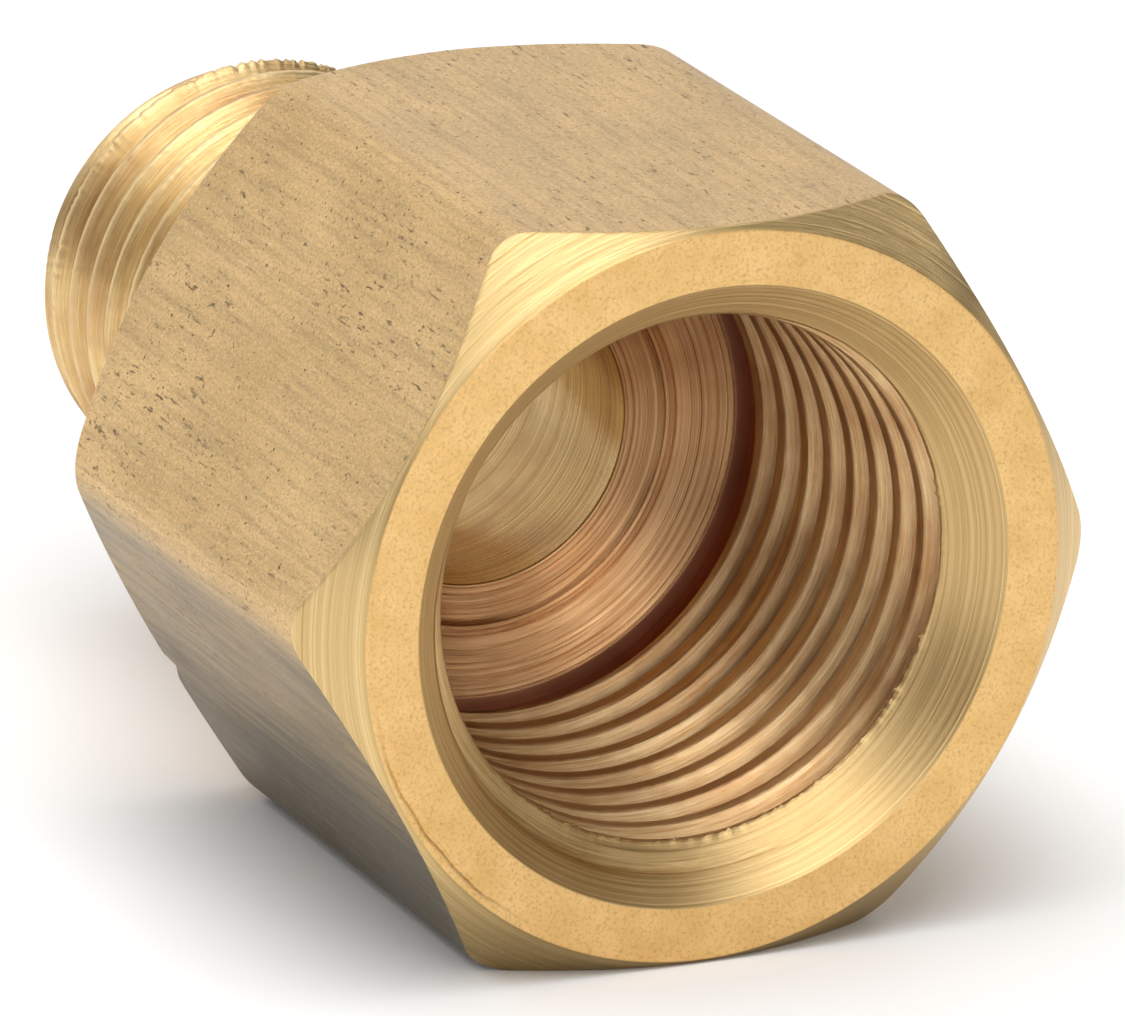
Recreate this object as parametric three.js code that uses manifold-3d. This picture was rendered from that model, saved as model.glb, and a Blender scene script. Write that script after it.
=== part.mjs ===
// Brass flare fitting turned from one hexagon bar: a female threaded socket at +X, a hexagon to hold
// with a wrench, and a male threaded stub with a 45 degree nose at -X. Millimetres, +Z up.
// It lies on a hexagon flat with its axis along X; the origin is the middle of its footprint.
import * as THREE from 'three';
import { mergeVertices } from 'three/addons/utils/BufferGeometryUtils.js';
import Module from 'manifold-3d';

const ACROSS_FLATS = 20.64;
const RIDGE_RADIUS = 1.6;
const HEX_LENGTH = 17.3;
const FRONT_CHAMFER_START = 10.18;
const BACK_CHAMFER_START = 10.3;

const SOCKET_PITCH = 1.411;
const SOCKET_CREST = 7.3;
const SOCKET_ROOT = 8.05;
const SOCKET_THREAD_LENGTH = 12.56;
const MOUTH_RADIUS = 8.69;
const RELIEF_RADIUS = 8.25;
const RELIEF_WIDTH = 1.31;

const FLOOR_RIM = 7.3;
const FLOOR_STEP = 5.45;
const FLOOR_STEP_DEPTH = 0.16;
const FLOOR_DISH = 0.85;
const BORE_RADIUS = 4.33;
const BORE_LEAD = 0.3;

const STUB_PITCH = 1.27;
const STUB_CREST = 6.35;
const STUB_ROOT = 5.5;
const STUB_THREAD_LENGTH = 13.95;
const NOSE_START = 5.95;
const NOSE_TIP = 4.85;

const STUB_FADE_TURNS = 0.8;
const STUB_FADE_LIFT = 1.2;

const SEGMENTS = 32;
const HEX_SEGMENTS = 72;
const RIDGE_SEGMENTS = 4;

const CENTRE_HEIGHT = ACROSS_FLATS / 2;
const NOSE_LENGTH = NOSE_START - NOSE_TIP;
const LENGTH = HEX_LENGTH + STUB_THREAD_LENGTH + NOSE_LENGTH;
const FRONT = LENGTH / 2;
const SHOULDER = FRONT - HEX_LENGTH;
const THREAD_END = SHOULDER - STUB_THREAD_LENGTH;
const TIP = -FRONT;
const RELIEF_START = FRONT - SOCKET_THREAD_LENGTH;
const RELIEF_END = RELIEF_START - RELIEF_WIDTH;
const OUTSIDE = 1;
const GROOVE_OVERCUT = 0.4;
const SOCKET_GROOVE_GAP = 0.1;
const STUB_GROOVE_GAP = 0.2;
const RIDGE_REACH = ACROSS_FLATS * 0.65;
const MERGE_DISTANCE = 1e-5;

const wasm = await Module();
wasm.setup();

// Positions of any three geometry as a manifold solid.
function solid(geometry) {
  const bare = new THREE.BufferGeometry();
  bare.setAttribute('position', geometry.getAttribute('position').clone());
  if (geometry.index) bare.setIndex(geometry.index.clone());
  const merged = mergeVertices(bare, MERGE_DISTANCE);
  const mesh = new wasm.Mesh({
    numProp: 3,
    vertProperties: new Float32Array(merged.getAttribute('position').array),
    triVerts: new Uint32Array(merged.index.array),
  });
  return new wasm.Manifold(mesh);
}

// Closed solid turned about the part's axis from [x, radius] points listed from +X to -X.
function turned(profile, segments) {
  const points = profile.map(([x, radius]) => new THREE.Vector2(radius, x));
  const geometry = new THREE.LatheGeometry(points.reverse(), segments);
  geometry.rotateZ(-Math.PI / 2);
  return solid(geometry);
}

// Hexagon outline with rounded ridges, flats facing +Z and -Z.
function hexagonShape() {
  const corner = (CENTRE_HEIGHT - RIDGE_RADIUS) / Math.cos(Math.PI / 6);
  const shape = new THREE.Shape();
  for (let side = 0; side < 6; side += 1) {
    const angle = (side * Math.PI) / 3;
    const centre = [corner * Math.cos(angle), corner * Math.sin(angle)];
    shape.absarc(...centre, RIDGE_RADIUS, angle - Math.PI / 6, angle + Math.PI / 6, false);
  }
  return shape;
}

// Hexagon bar with its six ridges bevelled by a cone at each end.
function hexagonBody() {
  const settings = { depth: HEX_LENGTH, bevelEnabled: false, curveSegments: RIDGE_SEGMENTS };
  const bar = new THREE.ExtrudeGeometry(hexagonShape(), settings);
  bar.rotateZ(Math.PI / 2);
  bar.rotateY(Math.PI / 2);
  bar.translate(SHOULDER, 0, 0);
  const ends = turned([
    [FRONT, 0],
    [FRONT, FRONT_CHAMFER_START],
    [FRONT - (RIDGE_REACH - FRONT_CHAMFER_START), RIDGE_REACH],
    [SHOULDER + (RIDGE_REACH - BACK_CHAMFER_START), RIDGE_REACH],
    [SHOULDER, BACK_CHAMFER_START],
    [SHOULDER, 0],
  ], HEX_SEGMENTS);
  return solid(bar).intersect(ends);
}

// Plain stub before threading, reaching into the hexagon so that the two join.
function stubBlank() {
  const bevel = STUB_CREST - NOSE_START;
  return turned([
    [SHOULDER + OUTSIDE, 0],
    [SHOULDER + OUTSIDE, STUB_CREST],
    [THREAD_END + bevel, STUB_CREST],
    [THREAD_END, NOSE_START],
    [TIP, NOSE_TIP],
    [TIP, 0],
  ], SEGMENTS);
}

// Space inside the fitting: bevelled mouth, tapping bore, relief groove, stepped floor and the
// bore that runs on through the stub.
function cavity() {
  const bevel = MOUTH_RADIUS - SOCKET_CREST;
  const slope = FLOOR_DISH / (FLOOR_RIM - BORE_RADIUS);
  const floorStep = RELIEF_END - slope * (FLOOR_RIM - FLOOR_STEP);
  return turned([
    [FRONT + OUTSIDE, 0],
    [FRONT + OUTSIDE, MOUTH_RADIUS + OUTSIDE],
    [FRONT - bevel, SOCKET_CREST],
    [RELIEF_START, SOCKET_CREST],
    [RELIEF_START, RELIEF_RADIUS],
    [RELIEF_END, RELIEF_RADIUS],
    [RELIEF_END, FLOOR_RIM],
    [floorStep, FLOOR_STEP],
    [floorStep - FLOOR_STEP_DEPTH, FLOOR_STEP - FLOOR_STEP_DEPTH],
    [RELIEF_END - FLOOR_DISH, BORE_RADIUS],
    [TIP + BORE_LEAD, BORE_RADIUS],
    [TIP - OUTSIDE, BORE_RADIUS + BORE_LEAD + OUTSIDE],
    [TIP - OUTSIDE, 0],
  ], SEGMENTS);
}

// Right-hand helical cutter. The section lists [axial offset, radius] points in order, and the
// lift function moves each step's section away from the axis so that the cut can fade out.
function helix(start, end, pitch, section, lift) {
  const steps = Math.round(((end - start) / pitch) * SEGMENTS);
  const count = section.length;
  const positions = [];
  const index = [];
  for (let step = 0; step <= steps; step += 1) {
    const angle = (step * 2 * Math.PI) / SEGMENTS;
    const along = start + (pitch * step) / SEGMENTS;
    for (const [offset, radius] of section) {
      const r = radius + lift(along);
      positions.push(along + offset, r * Math.cos(angle), r * Math.sin(angle));
    }
  }
  for (let step = 0; step < steps; step += 1) {
    for (let corner = 0; corner < count; corner += 1) {
      const a = step * count + corner;
      const b = step * count + ((corner + 1) % count);
      index.push(a, b, b + count, a, b + count, a + count);
    }
  }
  for (let corner = 1; corner < count - 1; corner += 1) {
    const last = steps * count;
    index.push(0, corner + 1, corner);
    index.push(last, last + corner, last + corner + 1);
  }
  const geometry = new THREE.BufferGeometry();
  geometry.setAttribute('position', new THREE.Float32BufferAttribute(positions, 3));
  geometry.setIndex(index);
  return solid(geometry);
}

// Half the axial width of a 60 degree V groove at a height above its root.
function halfWidth(height) {
  return height * Math.tan(Math.PI / 6);
}

// V groove of the female thread, open towards the axis.
function socketGroove() {
  const inner = SOCKET_CREST - GROOVE_OVERCUT;
  const wide = halfWidth(SOCKET_ROOT - inner);
  const section = [[-wide, inner], [wide, inner], [0, SOCKET_ROOT]];
  const start = RELIEF_END + wide + SOCKET_GROOVE_GAP;
  return helix(start, FRONT + SOCKET_PITCH, SOCKET_PITCH, section, () => 0);
}

// V groove of the male thread, open away from the axis, fading out before the shoulder.
function stubGroove() {
  const outer = STUB_CREST + GROOVE_OVERCUT;
  const wide = halfWidth(outer - STUB_ROOT);
  const section = [[0, STUB_ROOT], [wide, outer], [-wide, outer]];
  const end = SHOULDER - wide - STUB_GROOVE_GAP;
  const fadeLength = STUB_PITCH * STUB_FADE_TURNS;
  const fade = (along) => Math.max(0, STUB_FADE_LIFT - (end - along) / fadeLength);
  return helix(THREAD_END - 2 * STUB_PITCH, end, STUB_PITCH, section, fade);
}

function brassMesh(body) {
  const { vertProperties, triVerts } = body.getMesh();
  const indexed = new THREE.BufferGeometry();
  indexed.setAttribute('position', new THREE.Float32BufferAttribute(vertProperties, 3));
  indexed.setIndex([...triVerts]);
  const geometry = indexed.toNonIndexed();
  geometry.translate(0, 0, CENTRE_HEIGHT);
  geometry.computeVertexNormals();
  const material = new THREE.MeshStandardMaterial({
    name: 'brass',
    color: 0xc8a25c,
    metalness: 0.9,
    roughness: 0.35,
  });
  return new THREE.Mesh(geometry, material);
}

const body = hexagonBody()
  .add(stubBlank())
  .subtract(stubGroove())
  .subtract(cavity())
  .subtract(socketGroove());

const fitting = new THREE.Group();
fitting.name = 'flare_fitting';
const fittingBody = brassMesh(body);
fittingBody.name = 'fitting_body';
fitting.add(fittingBody);

export default fitting;
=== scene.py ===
"""Brass flare fitting: the fine visible surface, its brass finishes, and the studio that shows it."""
import math

import bpy
import numpy as np
from mathutils import Matrix, Vector


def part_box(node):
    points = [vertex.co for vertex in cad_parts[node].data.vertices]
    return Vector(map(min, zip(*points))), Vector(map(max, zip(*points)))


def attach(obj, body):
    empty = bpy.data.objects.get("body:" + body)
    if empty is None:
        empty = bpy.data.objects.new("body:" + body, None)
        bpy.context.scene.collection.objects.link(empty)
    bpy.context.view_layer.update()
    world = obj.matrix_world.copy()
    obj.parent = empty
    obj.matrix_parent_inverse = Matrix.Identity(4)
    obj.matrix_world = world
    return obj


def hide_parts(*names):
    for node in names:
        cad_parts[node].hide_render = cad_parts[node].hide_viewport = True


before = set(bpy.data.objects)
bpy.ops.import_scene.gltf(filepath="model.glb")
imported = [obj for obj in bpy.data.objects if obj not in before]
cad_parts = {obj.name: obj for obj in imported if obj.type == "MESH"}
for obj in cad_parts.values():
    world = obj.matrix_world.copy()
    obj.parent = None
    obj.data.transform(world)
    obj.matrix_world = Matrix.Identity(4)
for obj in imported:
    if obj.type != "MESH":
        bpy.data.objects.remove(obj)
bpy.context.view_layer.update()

# ---------------------------------------------------------------- sizes, in millimetres

MM = 0.001
low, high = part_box("fitting_body")
APOTHEM = (high.z - low.z) / MM / 2
CENTRE_HEIGHT = (high.z + low.z) / MM / 2
FRONT = high.x / MM
TIP = low.x / MM

HEX_LENGTH = 17.3
RIDGE_RADIUS = 1.6
FRONT_BEVEL_START = 10.18
BACK_BEVEL_START = 10.3
SHOULDER = FRONT - HEX_LENGTH

SOCKET_PITCH = 1.411
SOCKET_CREST = 7.3
SOCKET_ROOT = 7.97
SOCKET_ROOT_HALF = 0.08
MOUTH_RADIUS = 8.69
SOCKET_THREAD_LENGTH = 12.56
FIRST_GROOVE_PLACE = 0.764
RELIEF_RADIUS = 8.2
RELIEF_WIDTH = 1.31
RELIEF_START = FRONT - SOCKET_THREAD_LENGTH
RELIEF_END = RELIEF_START - RELIEF_WIDTH
SOCKET_GROOVE = RELIEF_END + FIRST_GROOVE_PLACE

FLOOR_RIM = 7.3
FLOOR_STEP = 5.45
FLOOR_STEP_DEPTH = 0.16
FLOOR_DISH = 0.85
BORE_RADIUS = 4.33
BORE_LEAD = 0.3

STUB_PITCH = 1.27
STUB_CREST = 6.35
STUB_ROOT = 5.62
STUB_ROOT_HALF = 0.1
NOSE_START = 5.95
NOSE_TIP = 4.85
THREAD_END = TIP + NOSE_START - NOSE_TIP

# How the stub's thread runs down on to the nose and fades out before the shoulder.
STUB_RUNOUT = 0.92
STUB_FADE_TURNS = 0.8
STUB_FADE_LIFT = 1.2
STUB_LEAD = 0.45
STUB_TAIL = 0.4
SHOULDER_CORNER = ((0.12, 0.0), (0.04, 0.03))
SHOULDER_CORNER_SIZE = 0.06
FLANK = math.tan(math.pi / 6)

# Marks of making and use. Angles and widths round the axis are in degrees from +Y towards +Z.
SCAR_ANGLE, SCAR_SPREAD, SCAR_DEPTH, SCAR_WIDTH = 214, 16, 0.07, 0.06
SCAR_FULLNESS, SCAR_INSET, SCAR_WOBBLE = 1.6, 0.28, 0.03
SCAR_BEND, SCAR_BEND_ANGLE, SCAR_BEND_SPREAD = 0.12, 202, 12
NICK_ANGLE, NICK_SPREAD, NICK_LENGTH, NICK_DEPTH = 219, 1.4, 0.9, 0.16
BURR_WIDTH, BURR_HEIGHT, BURR_LEAST = 0.06, 0.085, 0.2
TORN_PLACE, TORN_WIDTH, TORN_DEPTH = 0.7, 0.5, 0.09
SOCKET_WEAR, STUB_WEAR = 0.003, 0.004
WEAR_WAVES, WEAR_FEWEST, WEAR_MOST, WEAR_SLANT = 8, 20, 140, 5

# How finely the surface is divided, and which finish each stretch of it takes.
COLUMNS = 480
EDGE = 0.035
EDGE_LIMIT, INNER_EDGE_LIMIT = 0.2, 0.35
FLANK_ROWS = (0.35, 0.7)
CREST_EDGE_ROWS = (-0.035, 0.03)
CREST_ROWS_START, CREST_ROWS_APART, CREST_ROWS_GAP = 0.09, 0.075, 0.01
ROW_GAP = 0.004
FACE_ROWS = 34
DRAWN, BEVEL, FACE, SOCKET, RELIEF, FLOOR, BORE, STUB = range(8)

# How deep inside the front face the mouth's tone begins to give way, and has gone.
MOUTH_TONE_WHOLE, MOUTH_TONE_GONE = 1.3, 1.7

theta = np.arange(COLUMNS) * 2 * math.pi / COLUMNS
rng = np.random.default_rng(54)


# ---------------------------------------------------------------- the skin

def round_noise(waves, seed):
    """A smooth random value round the axis, about -1 to 1, that closes on itself."""
    phases = np.random.default_rng(seed).uniform(0, 2 * math.pi, len(waves))
    total = sum(np.sin(wave * theta + phase) for wave, phase in zip(waves, phases))
    return total / math.sqrt(len(waves))


def hexagon_radius():
    """Distance from the axis to the rounded hexagon at each column, with flats facing +Z and -Z."""
    off_ridge = (theta + math.pi / 6) % (math.pi / 3) - math.pi / 6
    flat = APOTHEM / np.cos(math.pi / 6 - np.abs(off_ridge))
    centre = (APOTHEM - RIDGE_RADIUS) / math.cos(math.pi / 6)
    under_root = np.maximum(RIDGE_RADIUS**2 - (centre * np.sin(off_ridge)) ** 2, 0)
    ridge = centre * np.cos(off_ridge) + np.sqrt(under_root)
    tangent = math.atan2(RIDGE_RADIUS / 2, centre + RIDGE_RADIUS * math.cos(math.pi / 6))
    return np.where(np.abs(off_ridge) < tangent, ridge, flat)


class Skin:
    """Rings of points round the axis, joined one after another into a closed surface."""

    def __init__(self):
        self.points = []
        self.count = 0
        self.first = None
        self.last = None
        self.faces = []
        self.finish = []

    def place(self, x, radius, angle):
        """Adds points and returns their indices."""
        ring = np.column_stack([x, radius * np.cos(angle), radius * np.sin(angle)])
        self.points.append(ring)
        index = np.arange(self.count, self.count + len(ring))
        self.count += len(ring)
        return index

    def quads(self, a, b, c, d, finish):
        """Four-sided faces between lists of corners."""
        self.faces.append(np.column_stack([a, b, c, d]))
        self.finish.append(np.full(len(a), finish))

    def ring(self, x, radius, finish):
        """One more ring, joined to the one before it."""
        x = np.broadcast_to(np.asarray(x, float), (COLUMNS,))
        radius = np.broadcast_to(np.asarray(radius, float), (COLUMNS,))
        index = self.place(x, radius, theta)
        if self.last is None:
            self.first = index
        else:
            self.quads(self.last, np.roll(self.last, -1), np.roll(index, -1), index, finish)
        self.last = index

    def run(self, start, end, finish, steps=1, ripple=0.0):
        """A straight run between two corners [x, radius], short of each so that the edges are eased."""
        x0, r0, x1, r1 = np.broadcast_arrays(start[0], start[1], end[0], end[1])
        length = np.maximum(np.hypot(x1 - x0, r1 - r0), 1e-6)
        ease = np.minimum(EDGE / length, EDGE_LIMIT)
        inner = np.minimum(3 * EDGE / length, INNER_EDGE_LIMIT)
        across = (r1 - r0) / length, (x0 - x1) / length
        stops = [inner + (1 - 2 * inner) * step / steps for step in range(steps + 1)]
        for stop in [ease, *stops, 1 - ease]:
            lift = ripple * rng.normal() if ripple and stop is not ease else 0.0
            self.ring(x0 + (x1 - x0) * stop + lift * across[0],
                      r0 + (r1 - r0) * stop + lift * across[1], finish)

    def close(self, finish):
        """Joins the last ring to the first."""
        self.quads(self.last, np.roll(self.last, -1), np.roll(self.first, -1), self.first, finish)

    def thread(self, start, end, pitch, groove, offsets, radius, finish):
        """A right-hand thread between two rings. Rows of points follow the helix and run into the
        end rings. groove is where a groove crosses column 0, and offsets places a pitch's rows."""
        rising = end > start
        lowest, highest = min(start, end), max(start, end)
        base = groove + pitch * (math.floor((lowest - groove) / pitch) - 1)
        turns = math.ceil((highest - base) / pitch) + 1
        rows = np.concatenate([base + pitch * turn + offsets for turn in range(turns)])
        x = rows[:, None] + pitch * theta[None, :] / (2 * math.pi)
        self.ring(start, radius(np.full(COLUMNS, start), theta), finish)
        before = self.last
        after = self.place(np.full(COLUMNS, end), radius(np.full(COLUMNS, end), theta), theta)
        at_low, at_high = (before, after) if rising else (after, before)
        free = (x > lowest + ROW_GAP) & (x < highest - ROW_GAP)
        index = np.where(x <= lowest + ROW_GAP, at_low[None, :], at_high[None, :])
        angle = np.broadcast_to(theta, x.shape)[free]
        index[free] = self.place(x[free], radius(x[free], angle), angle)
        following = np.roll(index, -1, axis=1)
        shift = len(offsets)
        following[:-shift, -1] = index[shift:, 0]
        following[-shift:, -1] = at_high[0]
        corners = index[:-1], following[:-1], following[1:], index[1:]
        a, b, c, d = [corner.ravel() for corner in corners]
        if rising:
            self.quads(a, b, c, d, finish)
        else:
            self.quads(d, c, b, a, finish)
        self.last = after

    def mesh(self, name):
        """The closed mesh. A quad that lost a corner where a thread meets its end ring becomes a
        triangle, and one that shrank to a line or a point is left out."""
        faces = np.concatenate(self.faces)
        finish = np.concatenate(self.finish)
        same = faces == np.roll(faces, -1, axis=1)
        whole = ~same.any(axis=1) & (faces[:, 0] != faces[:, 2]) & (faces[:, 1] != faces[:, 3])
        three = same.sum(axis=1) == 1
        corners = faces[three][~same[three]].reshape(-1, 3)
        proper = (corners[:, 0] != corners[:, 1]) & (corners[:, 1] != corners[:, 2])
        proper &= corners[:, 0] != corners[:, 2]
        polygons = faces[whole].tolist() + corners[proper].tolist()
        points = np.concatenate(self.points)
        points[:, 2] += CENTRE_HEIGHT
        mesh = bpy.data.meshes.new(name)
        mesh.from_pydata((points * MM).tolist(), [], polygons)
        slots = np.concatenate([finish[whole], finish[three][proper]])
        mesh.polygons.foreach_set("material_index", slots.astype(np.int32))
        mesh.polygons.foreach_set("use_smooth", np.ones(len(polygons), bool))
        mesh.update()
        return mesh


def thread_rows(pitch, root_half, depth):
    """Offsets of a pitch's rows from its groove, close together at the edges of the crest."""
    crest = root_half + depth * FLANK
    on_flank = [root_half + depth * FLANK * part for part in FLANK_ROWS]
    at_edge = [crest + offset for offset in CREST_EDGE_ROWS]
    on_crest = np.arange(crest + CREST_ROWS_START, pitch / 2, CREST_ROWS_APART)
    one_side = [root_half, *on_flank, *at_edge, *on_crest]
    inside = [offset for offset in one_side if offset < pitch / 2 - CREST_ROWS_GAP]
    return np.array([0.0, *inside, pitch / 2, *[pitch - offset for offset in reversed(inside)]])


def from_groove(x, angle, pitch, groove):
    """Signed distance along the axis from the nearest groove's centre."""
    turns = (x - groove) / pitch - angle / (2 * math.pi)
    return (turns - np.round(turns)) * pitch


def at_angle(values, angle):
    """A value kept for each column, read at any angle."""
    return np.interp(angle, np.append(theta, 2 * math.pi), np.append(values, values[0]))


def wear(x, angle, seed):
    """Small random dents on a crest, about -1 to 1, that change along the axis and round it."""
    draw = np.random.default_rng(seed)
    total = np.zeros(np.shape(x + angle))
    for _ in range(WEAR_WAVES):
        waves, phase = draw.integers(WEAR_FEWEST, WEAR_MOST), draw.uniform(0, 2 * math.pi)
        total += np.sin(waves * angle + draw.uniform(-WEAR_SLANT, WEAR_SLANT) * x + phase)
    return total / math.sqrt(WEAR_WAVES)


def socket_radius(x, angle):
    """The female thread under the bevel of the mouth, with a torn burr where the two meet."""
    apart = np.abs(from_groove(x, angle, SOCKET_PITCH, SOCKET_GROOVE))
    depth = SOCKET_ROOT - SOCKET_CREST
    height = np.clip((apart - SOCKET_ROOT_HALF) / FLANK, 0, depth)
    crest = height / depth
    thread = SOCKET_ROOT - height - SOCKET_WEAR * crest * wear(x, angle, 3)
    bevel = MOUTH_RADIUS - (FRONT - x)
    meeting = np.exp(-(((bevel - thread) / BURR_WIDTH) ** 2))
    return np.maximum(thread, bevel) - BURR_HEIGHT * meeting * crest**8 * at_angle(mouth_burr, angle)


def stub_radius(x, angle):
    """The male thread, cut off by the nose's cone and fading out short of the shoulder."""
    signed = from_groove(x, angle, STUB_PITCH, THREAD_END)
    depth = STUB_CREST - STUB_ROOT
    height = np.clip((np.abs(signed) - STUB_ROOT_HALF) / FLANK, 0, depth)
    runout = SHOULDER - STUB_RUNOUT - (x - signed)
    lift = np.maximum(0, STUB_FADE_LIFT - runout / (STUB_PITCH * STUB_FADE_TURNS))
    thread = np.minimum(STUB_ROOT + height + lift, STUB_CREST)
    crest = np.clip((thread - STUB_ROOT) / depth, 0, 1) ** 3
    thread = thread + STUB_WEAR * crest * (wear(x, angle, 4) - 1.0)
    last_crest = np.exp(-(((x - THREAD_END - TORN_PLACE) / TORN_WIDTH) ** 2))
    thread = thread - TORN_DEPTH * last_crest * crest * at_angle(torn_crest, angle)
    return np.minimum(thread, NOSE_START + x - THREAD_END)


mouth_burr = np.abs(round_noise([29, 53, 83, 113, 149, 173], 5)) + BURR_LEAST
torn_crest = np.abs(round_noise([17, 41, 67, 101, 139], 6))


def spot(angle, width):
    """A smooth bump round the axis, 1 at an angle in degrees and fading over a width in degrees."""
    apart = (theta - math.radians(angle) + math.pi) % (2 * math.pi) - math.pi
    return np.exp(-((apart / math.radians(width)) ** 2))


def front_face(skin):
    """The ring face round the mouth, with a shallow scar near its outer edge."""
    along_scar = np.clip(spot(SCAR_ANGLE, SCAR_SPREAD) * SCAR_FULLNESS, 0, 1)
    bend = SCAR_BEND * spot(SCAR_BEND_ANGLE, SCAR_BEND_SPREAD)
    scar_radius = FRONT_BEVEL_START - SCAR_INSET + bend
    wobble = SCAR_WOBBLE * round_noise([11, 29, 47], 8)
    for radius in np.linspace(FRONT_BEVEL_START, MOUTH_RADIUS, FACE_ROWS):
        across = np.exp(-(((radius - scar_radius - wobble) / SCAR_WIDTH) ** 2))
        skin.ring(FRONT - SCAR_DEPTH * along_scar * across, radius, FACE)


def outside(skin):
    """Nose, stub, shoulder and hexagon, from the tip to the front face."""
    side = hexagon_radius()
    back_edge = SHOULDER + side - BACK_BEVEL_START
    front_edge = FRONT - (side - FRONT_BEVEL_START)
    thread_start = THREAD_END - STUB_LEAD
    thread_stop = SHOULDER - STUB_TAIL
    skin.run((TIP, BORE_RADIUS + BORE_LEAD), (TIP, NOSE_TIP), FACE, 2)
    skin.run((TIP, NOSE_TIP), (thread_start, NOSE_START - STUB_LEAD), BEVEL, 16, 0.002)
    rows = thread_rows(STUB_PITCH, STUB_ROOT_HALF, STUB_CREST - STUB_ROOT)
    skin.thread(thread_start, thread_stop, STUB_PITCH, THREAD_END, rows, stub_radius, STUB)
    for before, above in SHOULDER_CORNER:
        skin.ring(SHOULDER - before, STUB_CREST + above, STUB)
    shoulder_foot = SHOULDER, STUB_CREST + SHOULDER_CORNER_SIZE
    skin.run(shoulder_foot, (SHOULDER, BACK_BEVEL_START), FACE, 14, 0.002)
    nicked = side - NICK_DEPTH * spot(NICK_ANGLE, NICK_SPREAD)
    skin.run((SHOULDER, BACK_BEVEL_START), (back_edge, nicked), BEVEL, 8)
    skin.run((back_edge, nicked), (back_edge + NICK_LENGTH, side), DRAWN, 4)
    skin.run((back_edge + NICK_LENGTH, side), (front_edge, side), DRAWN, 8)
    skin.run((front_edge, side), (FRONT, FRONT_BEVEL_START), BEVEL, 8)
    front_face(skin)


def inside(skin):
    """Mouth, female thread, relief groove, floor and bore, from the front face to the tip."""
    rows = thread_rows(SOCKET_PITCH, SOCKET_ROOT_HALF, SOCKET_ROOT - SOCKET_CREST)
    skin.thread(FRONT - EDGE, RELIEF_START, SOCKET_PITCH, SOCKET_GROOVE, rows, socket_radius, SOCKET)
    wall = socket_radius(np.full(COLUMNS, RELIEF_START), theta)
    slope = FLOOR_DISH / (FLOOR_RIM - BORE_RADIUS)
    step_x = RELIEF_END - slope * (FLOOR_RIM - FLOOR_STEP)
    bore_x = RELIEF_END - FLOOR_DISH
    step_foot = step_x - FLOOR_STEP_DEPTH, FLOOR_STEP - FLOOR_STEP_DEPTH
    skin.run((RELIEF_START, wall), (RELIEF_START, RELIEF_RADIUS), RELIEF, 1)
    skin.run((RELIEF_START, RELIEF_RADIUS), (RELIEF_END, RELIEF_RADIUS), RELIEF, 6, 0.004)
    skin.run((RELIEF_END, RELIEF_RADIUS), (RELIEF_END, FLOOR_RIM), RELIEF, 3)
    skin.run((RELIEF_END, FLOOR_RIM), (step_x, FLOOR_STEP), FLOOR, 30, 0.006)
    skin.run((step_x, FLOOR_STEP), step_foot, FLOOR, 2)
    skin.run(step_foot, (bore_x, BORE_RADIUS), FLOOR, 16, 0.004)
    skin.run((bore_x, BORE_RADIUS), (TIP + BORE_LEAD, BORE_RADIUS), BORE, 36, 0.004)
    skin.run((TIP + BORE_LEAD, BORE_RADIUS), (TIP, BORE_RADIUS + BORE_LEAD), BEVEL, 2)


# ---------------------------------------------------------------- brass

MARK_WANDER = 0.015
QUARTER_TURN = 0.25


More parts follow.
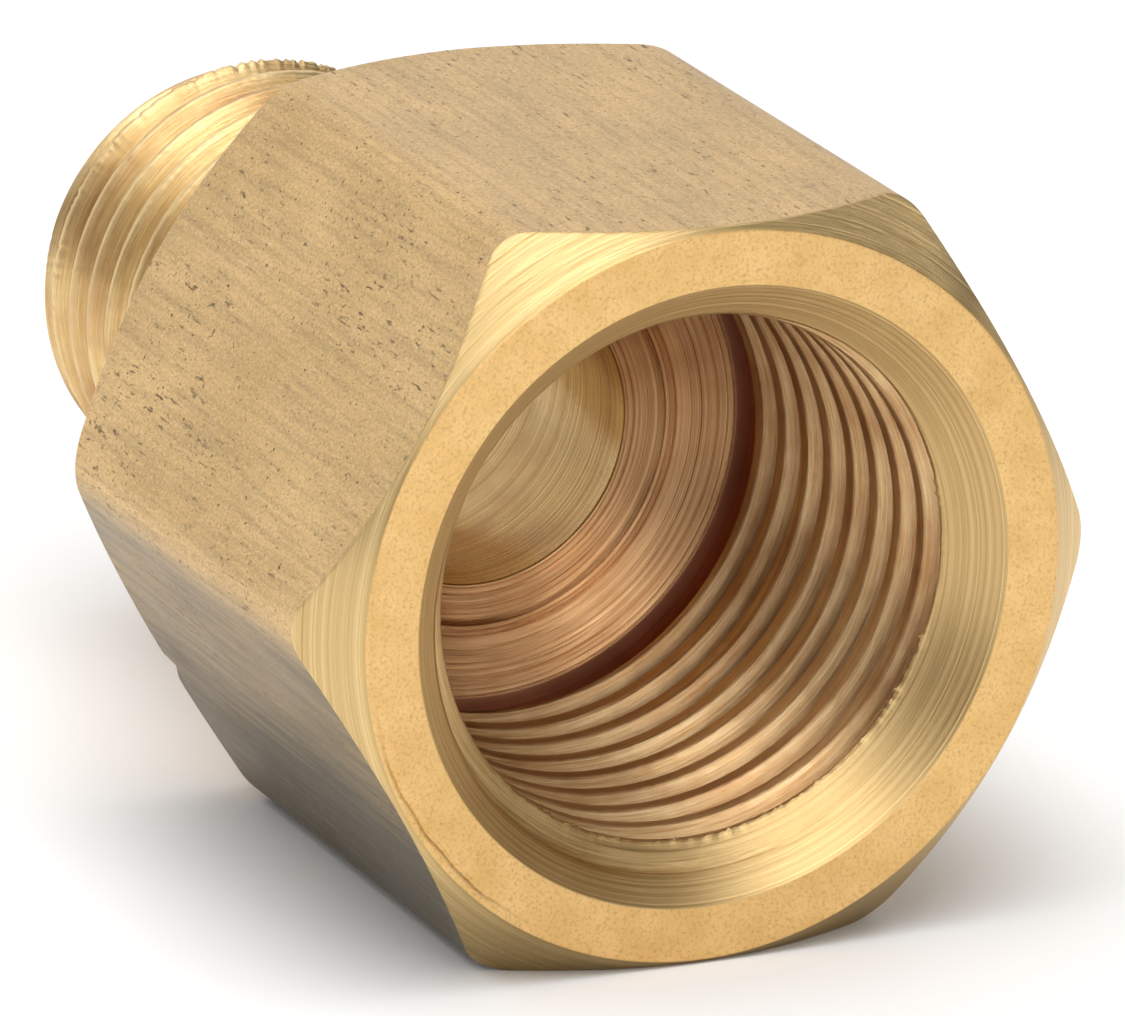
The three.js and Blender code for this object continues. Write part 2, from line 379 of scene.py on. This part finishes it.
class Recipe:
    """Builds one material's nodes."""

    def __init__(self, name):
        self.material = bpy.data.materials.new(name)
        self.material.use_nodes = True
        self.tree = self.material.node_tree
        self.shader = self.tree.nodes["Principled BSDF"]
        self.shader.inputs["Metallic"].default_value = 1.0

    def add(self, kind, settings=(), **inputs):
        """A node with its settings and inputs. An input is a number, a tuple or another output."""
        node = self.tree.nodes.new(kind)
        for name, value in dict(settings).items():
            setattr(node, name, value)
        for name, value in inputs.items():
            key = int(name[1:]) if name[1:].isdigit() else name.replace("_", " ")
            self.put(node.inputs[key], value)
        return node

    def put(self, socket, value):
        """Links an output to a socket, or sets the socket to a plain value."""
        if isinstance(value, bpy.types.NodeSocket):
            self.tree.links.new(value, socket)
        else:
            socket.default_value = value

    def math(self, operation, *values):
        named = {f"i{n}": value for n, value in enumerate(values)}
        return self.add("ShaderNodeMath", {"operation": operation}, **named).outputs[0]

    def place(self, *scale):
        """Object coordinates in millimetres from the axis, stretched by scale."""
        point = self.add("ShaderNodeTexCoord").outputs["Object"]
        moved = self.add("ShaderNodeMapping", Location=(0, 0, -CENTRE_HEIGHT * scale[2]),
                         Scale=tuple(value / MM for value in scale), Vector=point)
        return moved.outputs[0]

    def distances(self):
        """Millimetres along the axis, across to +Y and up from the axis, as three outputs."""
        return self.add("ShaderNodeSeparateXYZ", Vector=self.place(1, 1, 1)).outputs

    def change(self, value, start, end, first, last):
        """A number that changes evenly from first to last as value goes from start to end."""
        node = self.add("ShaderNodeMapRange", Value=value, From_Min=start, From_Max=end,
                        To_Min=first, To_Max=last)
        return node.outputs[0]

    def turned(self, scale):
        """Coordinates that change along and away from the axis, for marks left by turning, and
        wander slightly across it."""
        along, across, up = self.distances()
        flat = self.add("ShaderNodeCombineXYZ", X=0.0, Y=across, Z=up).outputs[0]
        away = self.add("ShaderNodeVectorMath", {"operation": "LENGTH"}, i0=flat).outputs["Value"]
        drift = self.math("MULTIPLY", across, MARK_WANDER)
        return self.add("ShaderNodeCombineXYZ", X=self.math("MULTIPLY", along, scale),
                        Y=self.math("MULTIPLY", away, scale), Z=drift).outputs[0]

    def tarnish_and_shade(self, streaks):
        """Darkens the lower flats on the -Y side, heavier low down and broken by streaks: partly a grey
        stain and partly painted shade, standing in for the shaded floor that these flats reflect.
        """
        _, across, up = self.distances()
        low = self.change(up, 0.0, -1.2, 0.0, 0.72)
        lower = self.change(up, -4.2, -6.5, 0.0, 0.3)
        side = self.change(across, -3.0, -6.0, 0.0, 1.0)
        broken = self.change(streaks, 0.3, 0.7, 1.15, 0.8)
        amount = self.math("MULTIPLY", self.math("ADD", low, lower), side)
        return self.math("MULTIPLY", amount, broken)

    def noise(self, vector, detail, rough=0.55):
        """Noise whose size comes from the coordinates that it is given."""
        node = self.add("ShaderNodeTexNoise", Vector=vector, Scale=1.0, Detail=detail,
                        Roughness=rough)
        return node.outputs[0]

    def ramp(self, value, *stops):
        """A ramp from value to colours or greys, given as (position, colour) pairs."""
        node = self.add("ShaderNodeValToRGB", Fac=value)
        elements = node.color_ramp.elements
        while len(elements) < len(stops):
            elements.new(0.5)
        for element, (position, colour) in zip(elements, stops):
            grey = isinstance(colour, (int, float))
            element.position = position
            element.color = (colour, colour, colour, 1) if grey else (*colour, 1)
        return node.outputs[0]

    def mix(self, factor, first, second):
        node = self.add("ShaderNodeMix", {"data_type": "RGBA"})
        self.put(node.inputs[0], factor)
        self.put(node.inputs[6], first)
        self.put(node.inputs[7], second)
        return node.outputs[2]

    def bump(self, height, depth, below=None):
        """Relief of a given depth in millimetres, on top of another relief."""
        node = self.add("ShaderNodeBump", Height=height, Distance=depth * MM, Strength=1.0)
        if below is not None:
            self.put(node.inputs["Normal"], below)
        return node.outputs[0]

    def finish(self, colour, roughness, normal, anisotropy=0.0):
        """Sets the shader. Anisotropy draws highlights out across marks that run round the axis."""
        self.put(self.shader.inputs["Base Color"], colour)
        self.put(self.shader.inputs["Roughness"], roughness)
        self.put(self.shader.inputs["Normal"], normal)
        if anisotropy:
            tangent = self.add("ShaderNodeTangent", {"direction_type": "RADIAL", "axis": "X"})
            self.put(self.shader.inputs["Tangent"], tangent.outputs[0])
            self.shader.inputs["Anisotropic"].default_value = anisotropy
            self.shader.inputs["Anisotropic Rotation"].default_value = QUARTER_TURN
        return self.material


def drawn_brass():
    """Bar stock as drawn: matte gold, with specks, short dashes along the axis, and a grey stain with
    painted shade below.
    """
    r = Recipe("brass_drawn")
    clouds = r.noise(r.place(0.22, 0.3, 0.3), 5)
    tone = r.ramp(clouds, (0.3, (0.62, 0.41, 0.17)), (0.7, (0.78, 0.54, 0.26)))
    streaks = r.noise(r.place(0.25, 4.5, 4.5), 4)
    tone = r.mix(r.ramp(streaks, (0.34, 0.4), (0.56, 0.0)), tone, (0.38, 0.26, 0.13, 1))
    speckle = r.noise(r.place(9, 14, 14), 3, 0.7)
    tone = r.mix(r.ramp(speckle, (0.34, 0.5), (0.47, 0.0)), tone, (0.32, 0.20, 0.09, 1))
    tone = r.mix(r.ramp(speckle, (0.54, 0.0), (0.66, 0.4)), tone, (0.95, 0.72, 0.42, 1))
    dashes = r.ramp(r.noise(r.place(1.5, 6, 6), 4, 0.62), (0.595, 0.0), (0.66, 1.0))
    specks = r.ramp(r.noise(r.place(6, 6, 6), 2, 0.5), (0.67, 0.0), (0.72, 1.0))
    patches = r.ramp(r.noise(r.place(0.22, 0.35, 0.35), 3), (0.44, 0.0), (0.60, 1.0))
    dark = r.math("MAXIMUM", r.math("MULTIPLY", dashes, patches), specks)
    tone = r.mix(r.math("MULTIPLY", dark, 0.8), tone, (0.11, 0.07, 0.035, 1))
    # Grey stain mixed with painted shade on the lower flats on the -Y side.
    tone = r.mix(r.tarnish_and_shade(streaks), tone, (0.15, 0.12, 0.075, 1))
    grain = r.bump(r.noise(r.place(3, 16, 16), 4, 0.65), 0.007)
    pits = r.bump(r.math("SUBTRACT", 1.0, dark), 0.018, grain)
    waves = r.bump(r.noise(r.place(0.12, 0.4, 0.4), 2), 0.05, pits)
    return r.finish(tone, r.ramp(clouds, (0.3, 0.36), (0.7, 0.48)), waves)


def bevel_brass():
    """Turned bevels with open tool marks, darker low down: partly stain and partly painted shade."""
    r = Recipe("brass_bevel")
    marks = r.noise(r.turned(8), 6, 0.78)
    tone = r.ramp(marks, (0.32, (0.50, 0.32, 0.11)), (0.62, (0.86, 0.63, 0.31)))
    _, _, up = r.distances()
    # Painted shade, partly stain: the bevels darken towards the bottom.
    tone = r.mix(r.change(up, -6.0, -9.0, 0.0, 0.55), tone, (0.16, 0.11, 0.04, 1))
    relief = r.bump(marks, 0.055)
    return r.finish(tone, r.ramp(marks, (0.3, 0.27), (0.7, 0.40)), relief, 0.4)


def face_brass():
    """Faced end: matte orange gold, finely speckled."""
    r = Recipe("brass_face")
    marks = r.noise(r.turned(9), 4)
    clouds = r.noise(r.place(0.8, 0.8, 0.8), 5)
    tone = r.ramp(clouds, (0.3, (0.74, 0.46, 0.17)), (0.7, (0.87, 0.58, 0.25)))
    specks = r.noise(r.place(10, 10, 10), 5, 0.75)
    tone = r.mix(r.ramp(specks, (0.36, 0.55), (0.5, 0.0)), tone, (0.48, 0.27, 0.08, 1))
    relief = r.bump(specks, 0.016, r.bump(marks, 0.010))
    return r.finish(tone, r.ramp(clouds, (0.3, 0.36), (0.7, 0.46)), relief, 0.3)


def turned_brass(name, scale, dark, light, depth, anisotropy, rough=(0.22, 0.36), mouth=False):
    """A turned surface: rings of dark and light, with relief to match. The mouth's bevel, which
    wasn't tapped, keeps the yellower tone of the other bevels."""
    r = Recipe(name)
    marks = r.noise(r.turned(scale), 5, 0.76)
    tone = r.ramp(marks, (0.36, dark), (0.64, light))
    stain = r.ramp(r.noise(r.place(0.35, 0.35, 0.35), 3), (0.42, 0.0), (0.68, 0.5))
    tone = r.mix(stain, tone, (0.40, 0.17, 0.06, 1))
    if mouth:
        along, _, _ = r.distances()
        near = r.change(along, FRONT - MOUTH_TONE_GONE, FRONT - MOUTH_TONE_WHOLE, 0.0, 0.8)
        bevel_tone = r.ramp(marks, (0.36, (0.50, 0.34, 0.13)), (0.64, (0.80, 0.58, 0.27)))
        tone = r.mix(near, tone, bevel_tone)
    relief = r.bump(marks, depth)
    return r.finish(tone, r.ramp(marks, (0.3, rough[0]), (0.7, rough[1])), relief, anisotropy)


def socket_brass():
    """Threaded bore: tapped and stained, so redder than the outside."""
    return turned_brass("brass_socket", 11, (0.60, 0.34, 0.14), (0.98, 0.75, 0.43), 0.024, 0.3,
                        (0.34, 0.48), mouth=True)


def relief_brass():
    """Relief groove: redder and more matte than the thread."""
    dark, light = (0.72, 0.36, 0.20), (0.88, 0.48, 0.28)
    return turned_brass("brass_relief", 8, dark, light, 0.01, 0.0, (0.4, 0.5))


def floor_brass():
    """Bored floor: reddish, with clear rings."""
    return turned_brass("brass_floor", 9, (0.36, 0.15, 0.055), (0.88, 0.57, 0.29), 0.035, 0.65)


def bore_brass():
    """Drilled bore wall: yellower than the floor, with fine rings."""
    dark, light = (0.50, 0.33, 0.12), (0.90, 0.70, 0.36)
    return turned_brass("brass_bore", 10, dark, light, 0.018, 0.7, (0.16, 0.28))


def stub_brass():
    """Turned male thread."""
    dark, light = (0.70, 0.47, 0.20), (0.97, 0.75, 0.40)
    return turned_brass("brass_stub", 13, dark, light, 0.028, 0.3, (0.30, 0.42))


# ---------------------------------------------------------------- the fitting

def fitting():
    """The whole fitting as one piece, in place of its CAD node."""
    skin = Skin()
    outside(skin)
    inside(skin)
    skin.close(BEVEL)
    mesh = skin.mesh("fitting_skin")
    makers = (drawn_brass, bevel_brass, face_brass, socket_brass, relief_brass, floor_brass,
              bore_brass, stub_brass)
    for make in makers:
        mesh.materials.append(make())
    piece = bpy.data.objects.new("fitting_skin", mesh)
    bpy.context.scene.collection.objects.link(piece)
    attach(piece, "root")
    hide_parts("fitting_body")


# ---------------------------------------------------------------- studio

AZIMUTH = math.radians(64.09)
ELEVATION = math.radians(18.54)
ROLL = math.radians(1.97)
DISTANCE = 0.332
FOCAL_LENGTH = 401.1
AIM = Vector((FRONT - 2.47, -3.43, CENTRE_HEIGHT + 2.15)) * MM

OVERHEAD_PLACE, OVERHEAD_SIZE, OVERHEAD_POWER = (0.12, -0.10, 0.61), 0.6, 3.7
FRONT_PLACE, FRONT_SIZE, FRONT_POWER = (0.52, -0.02, 0.19), 0.3, 0.85
LIGHT_AIM = (0, 0, 0.01)
BRIGHT_SIDE = (-0.92, -0.25, 0.30)
ROOM_DIM, ROOM_BRIGHT = 0.12, 0.95
DIM_BELOW, BRIGHT_ABOVE = -0.1, 0.75
FLOOR_REACH = 3.0


def camera():
    """The camera, in front of the socket, above it and to its -Y side."""
    right = Vector((math.cos(AZIMUTH), math.sin(AZIMUTH), 0))
    back = Vector((math.sin(AZIMUTH) * math.cos(ELEVATION),
                   -math.cos(AZIMUTH) * math.cos(ELEVATION), math.sin(ELEVATION)))
    turn = Matrix.Rotation(ROLL, 3, back)
    right = turn @ right
    up = back.cross(right)
    lens = bpy.data.cameras.new("camera")
    lens.sensor_width = 36
    lens.lens = FOCAL_LENGTH
    lens.clip_start, lens.clip_end = 0.01, 10
    view = bpy.data.objects.new("camera", lens)
    axes = Matrix((right, up, back)).transposed().to_4x4()
    view.matrix_world = Matrix.Translation(AIM + back * DISTANCE) @ axes
    bpy.context.scene.collection.objects.link(view)
    bpy.context.scene.camera = view


def softbox(name, place, size, power):
    """A square area light that faces the part."""
    light = bpy.data.lights.new(name, "AREA")
    light.shape = "RECTANGLE"
    light.size, light.size_y = size, size
    light.energy = power
    lamp = bpy.data.objects.new(name, light)
    lamp.location = place
    lamp.rotation_mode = "QUATERNION"
    lamp.rotation_quaternion = (Vector(LIGHT_AIM) - Vector(place)).to_track_quat("-Z", "Y")
    bpy.context.scene.collection.objects.link(lamp)


def floor():
    """A wide, pale, matte floor."""
    mesh = bpy.data.meshes.new("floor")
    near, far = -FLOOR_REACH, FLOOR_REACH
    corners = [(near, near, 0), (far, near, 0), (far, far, 0), (near, far, 0)]
    mesh.from_pydata(corners, [], [(0, 1, 2, 3)])
    pale = bpy.data.materials.new("floor_pale")
    pale.use_nodes = True
    shader = pale.node_tree.nodes["Principled BSDF"]
    shader.inputs["Base Color"].default_value = (0.92, 0.92, 0.92, 1)
    shader.inputs["Roughness"].default_value = 0.9
    mesh.materials.append(pale)
    ground = bpy.data.objects.new("floor", mesh)
    bpy.context.scene.collection.objects.link(ground)


def room():
    """Pale behind the part near the horizon, where its flats look, and dim in front and to +Y."""
    world = bpy.data.worlds.new("studio")
    world.use_nodes = True
    nodes, links = world.node_tree.nodes, world.node_tree.links
    way = nodes.new("ShaderNodeTexCoord").outputs["Generated"]
    turn = nodes.new("ShaderNodeVectorMath")
    turn.operation = "DOT_PRODUCT"
    turn.inputs[1].default_value = BRIGHT_SIDE
    links.new(way, turn.inputs[0])
    fade = nodes.new("ShaderNodeMapRange")
    fade.inputs["From Min"].default_value = DIM_BELOW
    fade.inputs["From Max"].default_value = BRIGHT_ABOVE
    fade.inputs["To Min"].default_value = ROOM_DIM
    fade.inputs["To Max"].default_value = ROOM_BRIGHT
    links.new(turn.outputs["Value"], fade.inputs["Value"])
    backdrop = nodes["Background"]
    backdrop.inputs["Color"].default_value = (1, 1, 1, 1)
    links.new(fade.outputs[0], backdrop.inputs["Strength"])
    bpy.context.scene.world = world


def studio():
    room()
    softbox("overhead", OVERHEAD_PLACE, OVERHEAD_SIZE, OVERHEAD_POWER)
    softbox("front", FRONT_PLACE, FRONT_SIZE, FRONT_POWER)
    floor()


bpy.context.scene.view_settings.view_transform = "Standard"
fitting()
studio()
camera()
